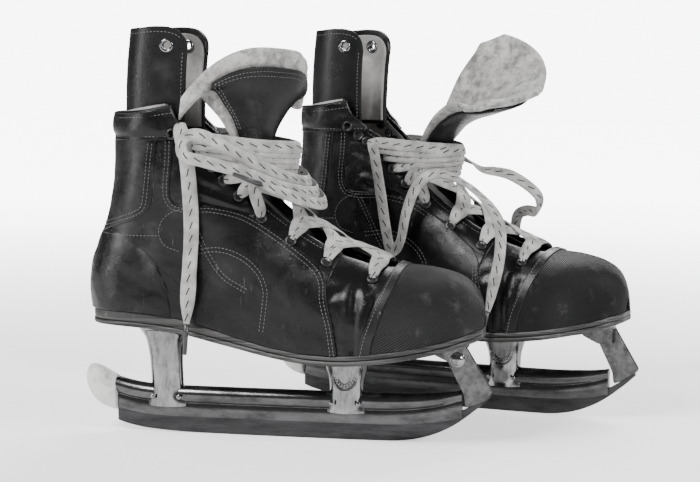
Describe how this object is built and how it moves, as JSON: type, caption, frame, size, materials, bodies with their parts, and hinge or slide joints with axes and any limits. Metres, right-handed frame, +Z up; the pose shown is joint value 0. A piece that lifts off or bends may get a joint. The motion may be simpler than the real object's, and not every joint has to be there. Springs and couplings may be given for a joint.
{
  "type": "pair of ice hockey skates",
  "caption": "Pair of worn leather ice hockey skates with tubular steel runners, felt-lined tongues, tendon guards and flat cotton laces.",
  "frame": {"origin": "the middle of the straight stretch of the right skate's blade edge, on the ice", "axes": "+X towards the right skate's toe, +Y towards its inner side, where the left skate stands, +Z up"},
  "size_m": [0.4073, 0.2666, 0.3011],
  "materials": {
    "black_leather": "worn gloss",
    "toe_nylon": "ribbed ballistic weave",
    "sole_leather": "scuffed edge dressing",
    "lining_leather": "smooth, rubbed",
    "tongue_felt": "matted wool felt",
    "runner_steel": "dull, scratched plating",
    "blade_steel": "ground",
    "chromed_steel": "worn chrome plating",
    "tip_plastic": "scuffed moulding",
    "lace_cotton": "flat woven, with a dark tracer",
    "lace_tip": "clear wrap"
  },
  "bodies": {
    "right_skate": {"right_runner_tube": "runner_steel", "right_blade": "blade_steel", "right_safety_tip": "tip_plastic", "right_heel_post": "chromed_steel", "right_ball_post": "chromed_steel", "right_toe_strut": "chromed_steel", "right_toe_lug": "chromed_steel", "right_strut_rivet": "chromed_steel", "right_outsole": "sole_leather", "right_midsole": "sole_leather", "right_insole": "lining_leather", "right_toe_cap": "toe_nylon", "right_vamp": "black_leather", "right_facing_outer": "black_leather", "right_facing_inner": "black_leather", "right_quarter_outer": "black_leather", "right_quarter_inner": "black_leather", "right_heel_counter": "black_leather", "right_backstay": "black_leather", "right_collar": "black_leather", "right_tongue_base": "black_leather", "right_lacing": "lace_cotton", "right_lace_end_outer": "lace_cotton", "right_lace_end_inner": "lace_cotton", "right_aglet_outer": "lace_tip", "right_aglet_inner": "lace_tip"},
    "right_tongue_flap": {"right_tongue_leather": "black_leather", "right_tongue_felt": "tongue_felt"},
    "right_guard": {"right_tendon_guard": "black_leather", "right_guard_lining": "lining_leather"},
    "left_skate": {"left_runner_tube": "runner_steel", "left_blade": "blade_steel", "left_safety_tip": "tip_plastic", "left_heel_post": "chromed_steel", "left_ball_post": "chromed_steel", "left_toe_strut": "chromed_steel", "left_toe_lug": "chromed_steel", "left_strut_rivet": "chromed_steel", "left_outsole": "sole_leather", "left_midsole": "sole_leather", "left_insole": "lining_leather", "left_toe_cap": "toe_nylon", "left_vamp": "black_leather", "left_facing_outer": "black_leather", "left_facing_inner": "black_leather", "left_quarter_outer": "black_leather", "left_quarter_inner": "black_leather", "left_heel_counter": "black_leather", "left_backstay": "black_leather", "left_collar": "black_leather", "left_tongue_base": "black_leather", "left_lacing": "lace_cotton", "left_lace_end_outer": "lace_cotton", "left_lace_end_inner": "lace_cotton", "left_aglet_outer": "lace_tip", "left_aglet_inner": "lace_tip"},
    "left_tongue_flap": {"left_tongue_leather": "black_leather", "left_tongue_felt": "tongue_felt"},
    "left_guard": {"left_tendon_guard": "black_leather", "left_guard_lining": "lining_leather"}
  },
  "joints": [
    {"name": "skates_apart", "type": "slide", "parent": "right_skate", "child": "left_skate", "axis": [0, 1, 0], "range_m": [-0.005, 0.15]},
    {"name": "right_tongue_flex", "type": "hinge", "parent": "right_skate", "child": "right_tongue_flap", "pos_m": [-0.0175, 0, 0.192], "axis": [0, 1, 0], "range_deg": [0, 17]},
    {"name": "left_tongue_flex", "type": "hinge", "parent": "left_skate", "child": "left_tongue_flap", "pos_m": [0.08495, 0.14394, 0.192], "axis": [0.225, 0.9744, 0], "range_deg": [-25, 2]},
    {"name": "right_guard_flex", "type": "hinge", "parent": "right_skate", "child": "right_guard", "pos_m": [-0.1195, 0, 0.24], "axis": [0, 1, 0], "range_deg": [-12, 0], "stiffness_Nm_per_rad": 3},
    {"name": "left_guard_flex", "type": "hinge", "parent": "left_skate", "child": "left_guard", "pos_m": [-0.01444, 0.16688, 0.24], "axis": [0.225, 0.9744, 0], "range_deg": [-12, 0], "stiffness_Nm_per_rad": 3}
  ]
}
